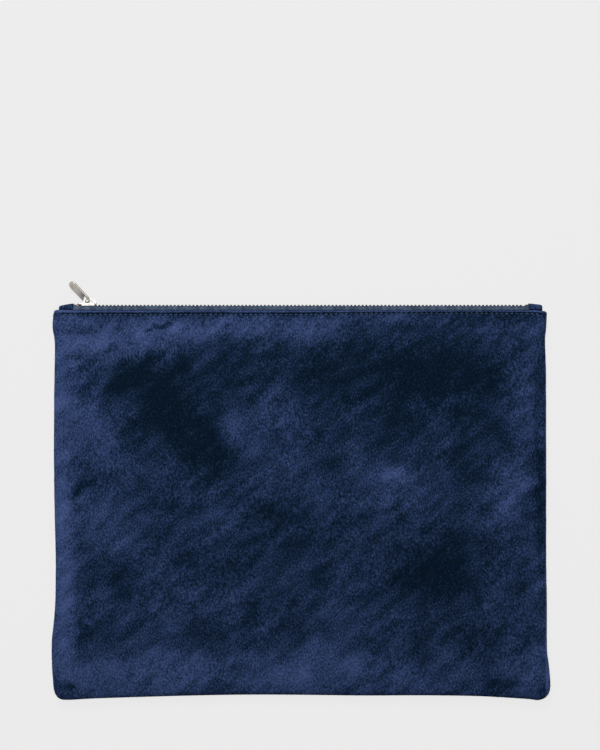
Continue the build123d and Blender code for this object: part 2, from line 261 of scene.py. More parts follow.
def panelEdge(foldY):
    # the outline as one run of points with as many down each side as the face has rows
    sideShares = panelRows()
    lengths = np.concatenate([[0], np.cumsum(np.linalg.norm(np.diff(outline, axis=0), axis=1))])
    leftShare = lengths[np.argmin(outline[:, 0] + outline[:, 1])] / lengths[-1]
    rightShare = lengths[np.argmin(outline[:, 1] - outline[:, 0])] / lengths[-1]
    across = np.linspace(0, 1, pouchShape["columns"] + 1)[1:-1]
    path = np.concatenate([sideShares * leftShare, leftShare + (rightShare - leftShare) * across,
                           1 - (1 - rightShare) * sideShares[::-1]])
    edge = alongLine(outline, path)
    # the sides are stretched to reach the fold
    start, drawnTop = pouchShape["stretchFrom"], outline[0, 1]
    edge[:, 1] += (foldY - drawnTop) * np.clip((edge[:, 1] - start) / (drawnTop - start), 0, 1)
    return edge


def ringProfile():
    # inset and height from the allowance's cut edge, round the rim and up onto the face
    rim, turn, flange, top = (pouchShape[key] for key in ("rim", "turn", "flange", "halfThick"))
    rings = [(flange, 0.02), (flange / 2, 0.0), (turn + pouchShape["seamGap"], 0.0), (turn, 0.0)]
    rings += [(turn - turn * sin(a), turn - turn * cos(a)) for a in np.radians([30, 60, 90])]
    rings += [(rim - rim * cos(a), top - rim + rim * sin(a))
              for a in np.radians([15, 30, 45, 60, 75, 90])]
    return rings


def blendedFace(border, rows, columns):
    # a grid of points inside a border, blended from its sides and its bottom
    left, right = border[:rows], border[::-1][:rows]
    bottom = border[rows - 1:len(border) - rows + 1]
    w = np.linspace(0, 1, columns + 1)[:, None]
    corners = (1 - w) * bottom[0] + w * bottom[-1]
    return np.array([v * bottom + (1 - w) * left[i] + w * right[i] - v * corners
                     for i, v in enumerate(panelRows())])


pressing = {
    "side": 163.5,  # where the flat face ends
    "bottom": -128,
    "dips": [(62, 0, 1.1), (24, 3, 0.5)],  # length, seed and share of the shallow hollows
    "puckerLength": 9, "puckerReach": (2, 7), "sideEase": 16, "foldEase": 26,
    "hemEase": (-1.2, 3.5), "foldRiseReach": 1.7, "grain": 0.05, "grainLength": 1.7,
    "stitchInset": 3.15,  # from the fold to the row of stitches
    "groove": (0.34, 0.66),  # depth and width
    "hole": (0.45, 0.17),
    "rimEase": (1.0, 3.0),  # the pressing starts at this height, over this distance
}


def pressFace(flat, height, foldY, creases, puff, seed):
    # how far each point sinks below the flat face
    fromSide = np.minimum(pressing["side"] - np.abs(flat[:, 0]), flat[:, 1] - pressing["bottom"])
    fromFold = foldY - flat[:, 1]
    low = puff["dip"] * np.clip(0.5 + layers(flat, pressing["dips"], seed), 0, 1)
    start, reach = pressing["puckerReach"]
    pucker = puff["pucker"] * np.clip(0.5 + noiseAt(flat, pressing["puckerLength"], seed + 5), 0, 1)
    pucker *= np.exp(-np.maximum(fromSide - start, 0) / reach)
    low = low * smoothStep(fromSide / pressing["sideEase"]) + pucker
    low *= smoothStep(fromFold / pressing["foldEase"])
    low += puff["hemStep"] * ease(fromFold - pouchShape["hem"], pressing["hemEase"])
    low -= puff["foldRise"] * bell(fromFold, pressing["foldRiseReach"])
    for x, y, length, angle, depth, width in creases:
        along, across = turned(flat[:, 0] - x, flat[:, 1] - y, angle)
        low += depth * bell(across, width) * smoothStep(1.5 - np.abs(along) / length * 2)
    low += pressing["grain"] * (1 + noiseAt(flat, pressing["grainLength"], seed + 8))
    # the stitches pull a groove, deepest at their holes
    pitch = pouchShape["stitchPitch"]
    grooveDepth, grooveWidth = pressing["groove"]
    holeDepth, holeWidth = pressing["hole"]
    hole = bell((flat[:, 0] / pitch) % 1 - 0.5, holeWidth)
    sewn = np.abs(flat[:, 0]) < (pouchShape["stitchCount"] + 0.6) * pitch / 2
    groove = bell(fromFold - pressing["stitchInset"] + rowRise(flat[:, 0]), grooveWidth)
    low += groove * (grooveDepth + holeDepth * hole) * sewn
    return low * ease(height, pressing["rimEase"])


def buildPanel(name, node, creases, puff, seed):
    shape = pouchShape
    foldY = hemEdge(node)
    front = boxMiddle(node).z > cadBox[1][2] / 2
    edge = panelEdge(foldY)
    inward = leftward(edge)
    inward[0], inward[-1] = (1, 0), (-1, 0)
    nearTop = ease(edge[:, 1], shape["flangeEnd"])
    rings = []
    for inset, height in ringProfile():
        # the seam allowance is cut away towards the zip
        onFlange = (inset > shape["turn"] + 0.5) * (height < 0.1)
        insets = inset + (shape["turn"] + 0.3 - inset) * nearTop * onFlange
        moved = edge + inward * np.reshape(insets, (-1, 1))
        rings.append(np.column_stack([moved, np.full(len(edge), height)]))
    rowCount, columns = len(panelRows()), shape["columns"]
    face = blendedFace(rings[-1][:, :2], rowCount, columns)
    index = np.arange(rowCount * (columns + 1)).reshape(rowCount, columns + 1)
    verts = [np.column_stack([face.reshape(-1, 2), np.full(index.size, shape["halfThick"])])]
    quads = [(index[i, j], index[i + 1, j], index[i + 1, j + 1], index[i, j + 1])
             for i in range(rowCount - 1) for j in range(columns)]
    lines = [np.concatenate([index[:, 0], index[-1, 1:-1], index[::-1, -1]])]
    count = index.size
    for ring in reversed(rings[:-1]):
        verts.append(ring)
        lines.append(np.arange(count, count + len(ring)))
        count += len(ring)
    for inner, outer in zip(lines, lines[1:]):
        quads += [(inner[j], outer[j], outer[j + 1], inner[j + 1]) for j in range(len(inner) - 1)]
    verts = np.concatenate(verts)
    verts[:, 1] -= shape["foldRadius"] * smoothStep((verts[:, 1] - foldY + 2) / 2)
    verts[:, 2] -= pressFace(verts[:, :2], verts[:, 2], foldY, creases, puff, seed)
    # the top row, rims included, goes on round the fold and back down inside as the hem
    top = np.array([line[0] for line in reversed(lines[1:])] + list(index[0])
                   + [line[-1] for line in lines[1:]])
    radius = shape["foldRadius"]
    middle = shape["halfThick"] - radius
    start = verts[top]
    hemRows = [(angle, 0.0) for angle in (14, 32, 50, 70, 90, 110, 130, 150, 166, 180)]
    hemRows += [(180, back) for back in (1.5, 3.5, 6.0, shape["hem"] - radius)]
    left, right = shape["hemSides"]
    previous = top
    extra = []
    for angle, back in hemRows:
        a = radians(angle)
        outside = angle <= 90
        square = shape["foldSquare"] if outside else 1.0
        narrower = shape["hemTaper"] * smoothStep((angle - 60) / 90)
        tall = start[:, 2] - middle if outside else radius
        row = start.copy()
        row[:, 0] = np.clip(row[:, 0], left + narrower, right - narrower)
        row[:, 1] = foldY - radius + radius * abs(sin(a)) ** square - back
        row[:, 2] = middle + tall * copysign(abs(cos(a)) ** square, cos(a))
        extra.append(row)
        current = np.arange(count, count + len(row))
        count += len(row)
        quads += [(previous[j], previous[j + 1], current[j + 1], current[j]) for j in range(len(row) - 1)]
        previous = current
    verts = np.concatenate([verts] + extra)
    wobble, wobbleLength = shape["wobble"]
    verts[:, 0] += wobble * noiseAt(verts[:, :2], wobbleLength, seed + 9)
    verts[:, 1] += foldShift(verts[:, 0]) * ease(verts[:, 1], hemLine["follow"])
    verts[:, 2] = shape["halfThick"] + (verts[:, 2] if front else -verts[:, 2])
    piece = meshPiece(name, verts * mm, [tuple(int(k) for k in quad) for quad in quads])
    thick = piece.modifiers.new("suede", "SOLIDIFY")
    thick.thickness = shape["suede"] * mm
    thick.offset = -1
    # thinner at the two top corners, where the layers fold sharply
    corner = ease(np.abs(verts[:, 0] - hemLine["middle"]), shape["cornerReach"])
    corner *= ease(verts[:, 1], shape["cornerTop"])
    group = piece.vertex_groups.new(name="full")
    for number, share in enumerate(corner):
        group.add([number], 1 - float(share), "REPLACE")
    thick.vertex_group = "full"
    thick.thickness_vertex_group = shape["cornerThin"]
    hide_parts(node)
    return piece


# how deep the hollows and puckers are, how much the fold stands up, and the step where the hem ends
frontPuff = {"dip": 0.75, "pucker": 0.5, "foldRise": 0.5, "hemStep": 0.3}
backPuff = {"dip": 0.3, "pucker": 0.3, "foldRise": 0.0, "hemStep": 0.12}
# creases: middle x and y, length, angle, depth and width, in mm and degrees
frontCreases = [(-65, 121, 9, 86, 0.5, 0.8), (-140, 10, 24, 32, 0.25, 2.5), (-100, 118, 18, 20, 0.25, 2.5),
                (62, 18, 26, -38, 0.22, 2.6), (-105, 90, 34, 36, 0.25, 3.5), (-84, 84, 30, 38, 0.22, 3.0)]
backCreases = [(40, 70, 50, 24, 0.2, 4.0), (-90, -20, 60, -32, 0.2, 5.0)]
frontSuede = buildPanel("suedeFront", "front_panel", frontCreases, frontPuff, 2)
backSuede = buildPanel("suedeBack", "back_panel", backCreases, backPuff, 7)
print("panels:", len(frontSuede.data.polygons), "faces in each skin")

# nap: where the pile was last stroked, light where it leans to the light
# each stroke: middle x and y, length, width, angle, gain
frontNap = {
    "level": 0.36,
    "strokes": [
        (-160, 70, 150, 28, 90, 0.36), (-160, -30, 130, 26, 90, 0.44), (-118, 112, 110, 36, 3, 0.5),
        (-55, 117, 60, 24, 5, 0.34), (4, 116, 90, 24, 0, 0.28), (-136, 44, 74, 36, -62, 0.26),
        (-132, -8, 56, 60, 90, 0.16), (-128, -34, 60, 30, 60, 0.08), (-156, -86, 70, 28, 90, 0.34),
        (60, 122, 60, 12, 0, 0.16), (151, 116, 24, 16, 0, 0.14), (-28, 54, 50, 34, 24, 0.22),
        (-10, 30, 50, 42, 70, 0.16), (28, 6, 70, 44, -30, 0.1), (64, 18, 34, 11, -38, 0.32),
        (66, 8, 50, 40, -30, 0.14), (140, 6, 60, 26, 80, 0.34), (150, 62, 80, 24, 88, 0.16),
        (132, -12, 40, 28, 70, 0.1), (-54, -14, 46, 34, 40, 0.12), (-88, -66, 110, 40, 10, 0.12),
        (-100, -112, 150, 44, 4, 0.34), (10, -112, 110, 44, 8, 0.36), (84, -114, 90, 32, 0, 0.2),
        (150, -108, 40, 44, 60, 0.26), (157, -60, 70, 12, 90, 0.12), (30, -76, 36, 24, 0, 0.12),
        (-98, 72, 78, 34, -58, -0.3), (-72, 44, 66, 40, -50, -0.24), (-56, 74, 44, 30, -20, -0.12),
        (-54, 22, 60, 30, -70, -0.16), (-28, 88, 70, 26, 4, -0.12), (34, 86, 90, 40, -4, -0.22),
        (98, 88, 90, 46, -2, -0.34), (70, 62, 60, 36, 10, -0.12), (112, 48, 54, 46, 90, -0.18),
        (-60, -84, 50, 24, 0, -0.1), (92, -52, 70, 40, -6, -0.32), (104, -30, 60, 30, 30, -0.12),
        (-22, -4, 44, 15, -30, -0.22), (-38, -36, 90, 34, 10, -0.1), (48, -68, 40, 20, 30, -0.06),
        # the dark strokes at (-107, 90), (-80, 89), (-120, 80), (-97, 118), (-139, 13) and (-149, 6) lie
        # on the front creases: painted shade in them
        (92, -84, 76, 26, 0, -0.1), (-107, 90, 40, 10, 36, -0.34), (-80, 89, 26, 15, 32, -0.3),
        (-120, 80, 30, 9, 32, -0.16), (-97, 118, 20, 6, 20, -0.52), (-150, 114, 26, 6, -4, -0.34),
        (-139, 13, 26, 6, 32, -0.34), (-149, 6, 17, 5, 28, -0.28), (-122, -48, 30, 20, -40, -0.16),
        (-153, -121, 17, 9, -20, -0.4), (137, -119, 26, 9, 10, -0.3), (150, -96, 22, 9, 66, -0.26),
        (158.5, 10, 190, 5, 90, -0.2), (-148, 97, 16, 5, 12, -0.2), (-128, 104, 22, 6, 30, -0.14),
        # the dark stroke at (-64, 120) lies on the short crease beside the fold: painted shade in it
        (122, 116, 44, 3, -3, 0.14), (136, 119, 30, 3, -5, 0.2), (-64, 120, 9, 2.6, 86, -0.5),
        (70, 116, 40, 8, 0, -0.12), (-6, 108, 40, 8, 4, -0.14), (-146, -96, 40, 12, -50, -0.14),
        (-143, -84, 30, 10, -40, -0.16), (-20, -116, 70, 12, 3, 0.08), (-84, 118, 16, 8, 60, 0.12),
    ],
}
backNap = {
    "level": 0.36,
    "strokes": [
        (-110, 60, 120, 50, 30, 0.24), (90, -40, 140, 60, 24, 0.26), (20, 90, 160, 30, -6, -0.16),
        (-40, -60, 110, 50, -34, -0.22), (130, 70, 60, 40, 70, 0.18), (-130, -90, 60, 30, 10, 0.2),
        (60, 20, 90, 26, 42, -0.2), (0, 112, 240, 16, 0, 0.15), (110, -100, 70, 20, 20, -0.2),
        (-70, 10, 60, 14, -40, -0.24), (-20, 50, 40, 12, 30, 0.2),
    ],
}


brushingAndPaintedLight = {
    "warp": [(30, 0, 6), (8, 1, 4)],  # length, seed and how far: the strokes' edges wander
    "edge": (1.6, 1.5),  # how firm a stroke is, and how firm its edge
    # streaks: length, seed, share, direction in degrees, how narrow
    "streaks": [(30, 4, 0.12, 0, 1.0), (17, 5, 0.27, 38, 3.0), (6.5, 6, 0.11, 34, 2.6)],
    # the fold's gain is a painted highlight where the rounded fold faces the light
    "fold": (0.75, 0.2, 1.15),  # gain, distance from the fold, width
    # the groove's and holes' loss darkens the row of stitches: the pile pressed down there, together with
    # painted shade in the groove
    "groove": (0.26, 2.85, 1.0), "hole": (0.18, 0.2),
    # the rims' gains are painted highlight: the outer rims are painted lighter, the right one more
    "rims": (0.08, 0.42),  # left and right
    "rimFrom": 162.4, "rimHeight": 3,
    "outside": 2.4,  # farther than this from the middle is an outer face
}


def brushNapAndPaintLight(piece, napAndPaintedLight, foldY, seed):
    co = np.empty(len(piece.data.vertices) * 3)
    piece.data.vertices.foreach_get("co", co)
    points = co.reshape(-1, 3) / mm
    flat = points[:, :2]
    warpX, warpY = [flat[:, i] + layers(flat, brushingAndPaintedLight["warp"], seed + 2 * i) for i in (0, 1)]
    value = np.full(len(flat), napAndPaintedLight["level"])
    firm, power = brushingAndPaintedLight["edge"]
    for x, y, length, width, angle, gain in napAndPaintedLight["strokes"]:
        along, across = turned(warpX - x, warpY - y, angle)
        value += gain * np.exp(-firm * ((along / length * 2) ** 2 + (across / width * 2) ** 2) ** power)
    for length, more, share, angle, ratio in brushingAndPaintedLight["streaks"]:
        value += share * noiseAt(flat, length, seed + more, angle, ratio)
    # the fold is painted light where its rounded top faces the light: painted highlight. Along the
    # stitches the colour is darker: the pile pressed down there, together with painted shade in the
    # groove, darkest at the holes
    fromFold = foldY + foldShift(flat[:, 0]) - flat[:, 1]
    gain, place, width = brushingAndPaintedLight["fold"]
    value += gain * bell(fromFold - place, width)
    # the outer rims are painted lighter, the right one more: painted highlight
    rim = np.where(flat[:, 0] < 0, *brushingAndPaintedLight["rims"]) * (points[:, 2] > brushingAndPaintedLight["rimHeight"])
    value += rim * smoothStep(np.abs(flat[:, 0] - hemLine["middle"]) - brushingAndPaintedLight["rimFrom"])
    # painted shade along the stitch groove, darkest at the holes, on top of the pile pressed down there
    gain, place, width = brushingAndPaintedLight["groove"]
    holeGain, holeWidth = brushingAndPaintedLight["hole"]
    hole = bell((flat[:, 0] / pouchShape["stitchPitch"]) % 1 - 0.5, holeWidth)
    outside = np.abs(points[:, 2] - pouchShape["halfThick"]) > brushingAndPaintedLight["outside"]
    value -= (gain + holeGain * hole) * bell(fromFold - place + rowRise(flat[:, 0]), width) * outside
    keepValue(piece, "napAndPaintedLight", value)


brushNapAndPaintLight(frontSuede, frontNap, hemEdge("front_panel"), 21)
brushNapAndPaintLight(backSuede, backNap, hemEdge("back_panel"), 33)
print("nap brushed")


# loose fibres that stand out of the suede's edges

fuzz = {
    "seam": 2600, "fold": 4200, "radius": 0.045, "taper": 0.75, "length": (0.25, 1.05),
    "longShare": 0.05, "longer": 1.8, "foldReach": 0.85, "scatter": (0.55, 0.55, 0.35),
    "curl": (0.5, 0.5, 0.3), "curlShare": 0.6,
    "seamLevels": ((1.6, 3.6), (4.4, 6.6)),  # heights on the back and the front rim
    "inset": (0.35, 0.12),
    "foldLevels": {"front_panel": 6.8, "back_panel": 1.2},
    # the fibres' value (0.66) lies well above the face's: painted light that lifts the shade in the gap
    # between the tape and the fold
    "foldSpan": (-163, 162), "foldAngles": (0.1, 1.3), "napAndPaintedLight": 0.66, "sides": 3, "steps": 3,
}


def fibre(start, outward, dice, verts, faces, reach=1.0):
    low, high = fuzz["length"]
    length = dice.uniform(low, high) * reach
    length *= fuzz["longer"] if dice.random() < fuzz["longShare"] else 1.0
    heading = Vector(outward) + Vector([dice.gauss(0, spread) for spread in fuzz["scatter"]])
    heading.normalize()
    bend = Vector([dice.gauss(0, spread) for spread in fuzz["curl"]])
    side = heading.cross(Vector((0.3, 0.2, 1))).normalized()
    other = heading.cross(side)
    first = len(verts)
    for step in range(fuzz["steps"] + 1):
        t = step / fuzz["steps"]
        centre = Vector(start) + heading * length * t + bend * length * t * t * fuzz["curlShare"]
        centre.z = max(centre.z, fuzz["radius"])
        radius = fuzz["radius"] * (1 - fuzz["taper"] * t)
        for k in range(fuzz["sides"]):
            a = 2 * pi * k / fuzz["sides"]
            verts.append((centre + (side * cos(a) + other * sin(a)) * radius) * mm)
    faces += tubeFaces(first, fuzz["steps"] + 1, fuzz["sides"])


def buildFuzz():
    dice = random.Random(5)
    verts, faces = [], []
    middle, square = pouchShape["halfThick"], pouchShape["foldSquare"]
    seam = outline[outline[:, 1] < 126]
    shares = np.sort([dice.random() for _ in range(fuzz["seam"])])
    places = alongLine(seam, shares)
    outward = -np.stack([alongLine(leftward(seam), shares)[:, i] for i in (0, 1)], axis=1)
    insetAtSeam, insetGrowth = fuzz["inset"]
    for (x, y), (ox, oy) in zip(places, outward):
        z = dice.choice([dice.uniform(*levels) for levels in fuzz["seamLevels"]])
        inset = insetAtSeam + max(0.0, abs(z - middle) - 1.5) ** 2 * insetGrowth
        fibre((x - ox * inset, y - oy * inset, z), (ox, oy, (z - middle) * 0.15), dice, verts, faces)
    radius = pouchShape["foldRadius"]
    reach = radius - 0.05
    for node, level in fuzz["foldLevels"].items():
        foldY = hemEdge(node)
        for _ in range(fuzz["fold"] // 2):
            x = dice.uniform(*fuzz["foldSpan"])
            around = dice.uniform(*fuzz["foldAngles"])
            y = foldY + float(foldShift([x])[0]) - radius + reach * cos(around) ** square
            z = level + copysign(reach * sin(around) ** square, level - middle)
            heading = (0, cos(around), copysign(sin(around), level - middle))
            fibre((x, y, z), heading, dice, verts, faces, fuzz["foldReach"])
    piece = meshPiece("suedeFuzz", verts, faces)
    # every fibre gets the lighter value: painted light over the shaded gap under the tape
    keepValue(piece, "napAndPaintedLight", np.full(len(verts), fuzz["napAndPaintedLight"]))
    return piece


looseFibres = buildFuzz()
print("loose fibres:", fuzz["seam"] + fuzz["fold"])


# stitches

thread = {
    "radius": 0.30, "halfLength": 1.12, "rise": 0.56, "twist": 1.6, "strands": 3,
    "strandShare": 0.56,  # a strand's radius and its place, as shares of the thread's radius
    "strandPlace": 0.46,
    "endShare": 0.7,  # how much of its radius a stitch keeps at its holes
    "steps": 12, "sides": 6, "lean": (0.10, 0.07), "bobbinCount": 88, "backstitches": 3,
    "hemDepth": 0.84,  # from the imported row's outer side to the hem's surface
    "innerRise": 0.1, "seamInset": 2.7, "seamTop": 110, "seamGap": 0.08,
}


def stitch(start, end, lift, turnBy, verts, faces):
    # a twisted thread that arches from hole to hole
    start, end, lift = Vector(start) * mm, Vector(end) * mm, Vector(lift)
    side = (end - start).normalized().cross(lift).normalized()
    for strand in range(thread["strands"]):
        first = len(verts)
        for step in range(thread["steps"] + 1):
            t = step / thread["steps"]
            arch = 1 - abs(2 * t - 1) ** 3
            turn = 2 * pi * (thread["twist"] * t + strand / thread["strands"]) + turnBy
            size = thread["radius"] * mm * (thread["endShare"] + (1 - thread["endShare"]) * arch)
            centre = start.lerp(end, t) + lift * arch * thread["rise"] * mm
            centre += (side * cos(turn) + lift * sin(turn)) * size * thread["strandPlace"]
            for k in range(thread["sides"]):
                a = 2 * pi * k / thread["sides"]
                around = side * cos(a) + lift * sin(a)
                verts.append(centre + around * size * thread["strandShare"])
        faces += tubeFaces(first, thread["steps"] + 1, thread["sides"])


def stitchRow(name, node, places, facing):
    verts, faces = [], []
    for number, (start, end) in enumerate(places):
        stitch(start, end, (0, 0, facing), number * 0.9, verts, faces)
    piece = meshPiece(name, verts, faces)
    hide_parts(node)
    return piece


def straightRow(node, count, z, backstitches, seed):
    # each stitch leans a little, and the row's ends are sewn twice
    dice = random.Random(seed)
    y = boxMiddle(node).y / mm
    half = thread["halfLength"]
    usual, more = thread["lean"]
    places = []
    for i in range(count):
        x = (i - (count - 1) / 2) * pouchShape["stitchPitch"]
        here = y + float(foldShift([x])[0]) + float(rowRise(x))
        lean = usual + dice.uniform(-more, more)
        places.append(((x - half, here - lean, z), (x + half, here + lean, z)))
        if i < backstitches or i >= count - backstitches:
            places.append(((x - half * 0.6, here + 0.3, z), (x + half * 1.3, here - 0.45, z)))
    return places


def seamPlaces(z):
    inner = outline + leftward(outline) * thread["seamInset"]
    inner = inner[inner[:, 1] < thread["seamTop"]]
    length = np.linalg.norm(np.diff(inner, axis=0), axis=1).sum()
    ends = alongLine(inner, np.linspace(0, 1, int(length / pouchShape["stitchPitch"]) + 1))
    gap = thread["seamGap"]
    return [((*(a + (b - a) * gap), z), (*(b - (b - a) * gap), z)) for a, b in zip(ends, ends[1:])]


def facingLevel(node, facing, depth):
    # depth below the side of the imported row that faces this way
    low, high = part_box(node)
    return (high if facing > 0 else low).z / mm - facing * depth


def hemRow(name, node, facing, seed):
    # along a hem, on its outer face
    z = facingLevel(node, facing, thread["hemDepth"])
    places = straightRow(node, pouchShape["stitchCount"], z, thread["backstitches"], seed)
    return stitchRow(name, node, places, facing)


def bobbinRow(name, node, facing, seed):
    # the same stitches on the inner face of a tape
    z = facingLevel(node, -facing, -thread["innerRise"])
    return stitchRow(name, node, straightRow(node, thread["bobbinCount"], z, 0, seed), facing)


def seamRow(name, node, facing):
    # round the three closed sides, on the seam allowance
    return stitchRow(name, node, seamPlaces(facingLevel(node, -facing, -thread["innerRise"])), facing)


stitchFront = hemRow("stitchFront", "front_topstitch", 1, 1)
stitchBack = hemRow("stitchBack", "back_topstitch", -1, 2)
bobbinFront = bobbinRow("bobbinFront", "front_bobbin_thread", -1, 3)
bobbinBack = bobbinRow("bobbinBack", "back_bobbin_thread", 1, 4)
seamFront = seamRow("seamFront", "front_seam_thread", 1)
seamBack = seamRow("seamBack", "back_seam_thread", -1)
print("stitches sewn")


# zip tapes, cords and end tabs

tape = {
    "thick": 0.38, "half": 151.1,
    "cord": 1.95,  # from the chain's middle line to the cord's
    "bend": 3.87,  # from there to the bend down into the pouch
    "low": -0.24, "neck": 2.6,
    "skirtHalf": 159.5,  # the skirt is the part of the tape inside the pouch
    "skirtZ": 1.35, "skirtEnds": 8.6, "round": 0.5, "step": 0.8, "wave": 0.06,
}


def roundedPath(points, radius, steps=5):
    # corners replaced by short curves
    points = [np.array(p, float) for p in points]
    out = [points[0]]
    for before, corner, after in zip(points, points[1:], points[2:]):
        a, b = before - corner, after - corner
        cut = min(radius, np.linalg.norm(a) * 0.45, np.linalg.norm(b) * 0.45)
        start, end = corner + a / np.linalg.norm(a) * cut, corner + b / np.linalg.norm(b) * cut
        for t in np.linspace(0, 1, steps + 1):
            out.append((1 - t) ** 2 * start + 2 * t * (1 - t) * corner + t * t * end)
    out.append(points[-1])
    return np.array(out)


def buildTape(name, node, side):
    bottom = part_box(node)[0].y / mm
    skirtZ = pouchShape["halfThick"] + side * tape["skirtZ"]

    def inWorld(across, out):
        point = chainPoint(0, across, out) / mm
        return point.y, point.z

    neckY, neckZ = inWorld(side * tape["bend"], -tape["neck"])
    path = [inWorld(side * (tape["cord"] + 0.5), 0), inWorld(side * (tape["cord"] + 1.0), tape["low"]),
            inWorld(side * tape["bend"], tape["low"]), (neckY, neckZ), (neckY - 0.1, skirtZ),
            (bottom + 6, skirtZ), (bottom, skirtZ)]
    line = roundedPath(path, tape["round"])
    normal = leftward(line)
    ring = np.concatenate([line + normal * tape["thick"] / 2,
                           (line - normal * tape["thick"] / 2)[::-1]])
    share = np.concatenate([np.linspace(0, 1, len(line)), np.linspace(1, 0, len(line))])
    xs = np.linspace(-tape["half"], tape["half"], int(2 * tape["half"] / tape["step"]) + 1)
    verts = []
    for x in xs:
        for (y, z), s in zip(ring, share):
            wave = tape["wave"] * noise.noise(Vector((x / 6, s * 3, side * 4.0)))
            verts.append(Vector((x, y + wave, z + wave)) * mm)
    faces = tubeFaces(0, len(xs), len(ring))
    # below the chain the tape goes on a little past its ends
    for end in (-1, 1):
        first = len(verts)
        for x in (end * tape["half"], end * tape["skirtHalf"]):
            for up, z in ((0, -1), (1, -1), (1, 1), (0, 1)):
                y = bottom + up * tape["skirtEnds"]
                verts.append(Vector((x, y, skirtZ + z * tape["thick"] / 2)) * mm)
        faces += tubeFaces(first, 2, 4)
    piece = meshPiece(name, verts, faces)
    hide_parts(node)
    return piece


tapeFront = buildTape("tapeFront", "front_tape", 1)
tapeBack = buildTape("tapeBack", "back_tape", -1)

# hollow: the radius between strands as a share, and how much more a strand stands out
laidCord = {"radius": 0.56, "strands": 5, "lay": 2.6, "hollow": (0.9, 0.16), "sides": 15, "step": 0.42,
            "half": 151.2}


def buildCord(name, node, side):
    # one closed surface with the strands standing out of it
    half, sides, strands = laidCord["half"], laidCord["sides"], laidCord["strands"]
    least, swell = laidCord["hollow"]
    xs = np.linspace(-half, half, int(2 * half / laidCord["step"]) + 1)
    verts = []
    for x in xs:
        for k in range(sides):
            a = 2 * pi * k / sides
            twist = a - side * 2 * pi * x / (laidCord["lay"] * strands)
            r = laidCord["radius"] * (least + swell * abs(sin(strands / 2 * twist)))
            verts.append(chainPoint(x, side * tape["cord"] + r * cos(a), r * sin(a)))
    piece = meshPiece(name, verts, tubeFaces(0, len(xs), sides))
    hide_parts(node)
    return piece


cordFront = buildCord("cordFront", "front_cord", 1)
cordBack = buildCord("cordBack", "back_cord", -1)

tab = {
    "halfWidth": 3.65, "top": 2.25, "bottom": -2.4, "inner": 151.25, "around": 48,
    "endFrom": 0.84,  # the outer end is rounded from this share of its length on
    "endRound": 0.75, "beginTo": 0.05, "beginThin": 0.12,
    "squareTop": 0.55,  # 1 is a half round, less is squarer
    "squareBottom": 0.25, "lump": 0.16, "lumpLength": (2.2, 1.8), "napAndPaintedLight": 0.36,
    "napTop": 0.16,  # how much lighter the top is
    "napNoise": [(2.6, 0.3), (0.9, 0.12)],
    "stemZ": (3.1, 4.9), "stemTop": 128.4, "stemNap": 0.3,
}
# side, how far each tab reaches, and how much and how softly its top falls away towards the outside
tabEnds = {"left_end_tab": (-1, 161.0, 1.9, 0.5), "right_end_tab": (1, 160.4, 1.25, 0.12)}


def buildTab(name, node, seed):
    # a strip of suede folded over the zip's end, with a rounded section and a soft outer end
    side, outer, fall, softness = tabEnds[node]
    around, inner, endFrom = tab["around"], tab["inner"], tab["endFrom"]
    wide, high = tab["lumpLength"]
    roundEnd = 1 - (1 - endFrom) * (1 - np.sin(np.radians(np.linspace(12, 90, 8))))
    verts, value = [], []
    shares = np.concatenate([[0, 0.02, 0.05], np.linspace(0.1, endFrom, 18), roundEnd])
    for s in shares:
        x = side * (inner + (outer - inner) * s)
        end = max(0.0, (s - endFrom) / (1 - endFrom))
        begin = max(0.0, (tab["beginTo"] - s) / tab["beginTo"])
        size = sqrt(max(0.0, 1 - end * end * tab["endRound"])) * (1 - tab["beginThin"] * begin * begin)
        top = tab["top"] - fall * (softness * sin(pi * s) * 0.2 + s ** (1.4 + softness))
        middle, tall = (top + tab["bottom"]) / 2, (top - tab["bottom"]) / 2
        for k in range(around):
            a = 2 * pi * (k + 0.5) / around
            ca, sa = cos(a), sin(a)
            across = tab["halfWidth"] * size * copysign(abs(ca) ** tab["squareTop"], ca)
            shrink = 0.35 + 0.65 * size if sa > 0 else 1.0
            square = tab["squareTop"] if sa > 0 else tab["squareBottom"]
            out = middle + tall * shrink * copysign(abs(sa) ** square, sa)
            lump = tab["lump"] * noise.noise(Vector((x / wide, across / high, out / high + seed)))
            point = chainPoint(x, across + lump * ca, out + lump * sa)
            verts.append(point)
            cloud = sum(share * noise.noise(point / mm / length) for length, share in tab["napNoise"])
            value.append(tab["napAndPaintedLight"] + cloud + (tab["napTop"] if sa > 0.7 else 0))
    faces = tubeFaces(0, len(shares), around)
    # the stem is sewn in between the two tapes
    low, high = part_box(node)[0].y / mm, tab["stemTop"]
    back, front = tab["stemZ"]
    first = len(verts)
    for x in (inner + 0.1, (inner + outer) / 2, outer - 0.8):
        for y, z in ((low, back), (low, front), (high, front), (high, back)):
            verts.append(Vector((side * x, y, z)) * mm)
            value.append(tab["stemNap"])
    faces += tubeFaces(first, 3, 4)
    piece = meshPiece(name, verts, faces)
    keepValue(piece, "napAndPaintedLight", np.array(value))
    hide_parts(node)
    return piece


tabLeft = buildTab("tabLeft", "left_end_tab", 3)
tabRight = buildTab("tabRight", "right_end_tab", 8)
print("zip tapes, cords and tabs made")


# teeth

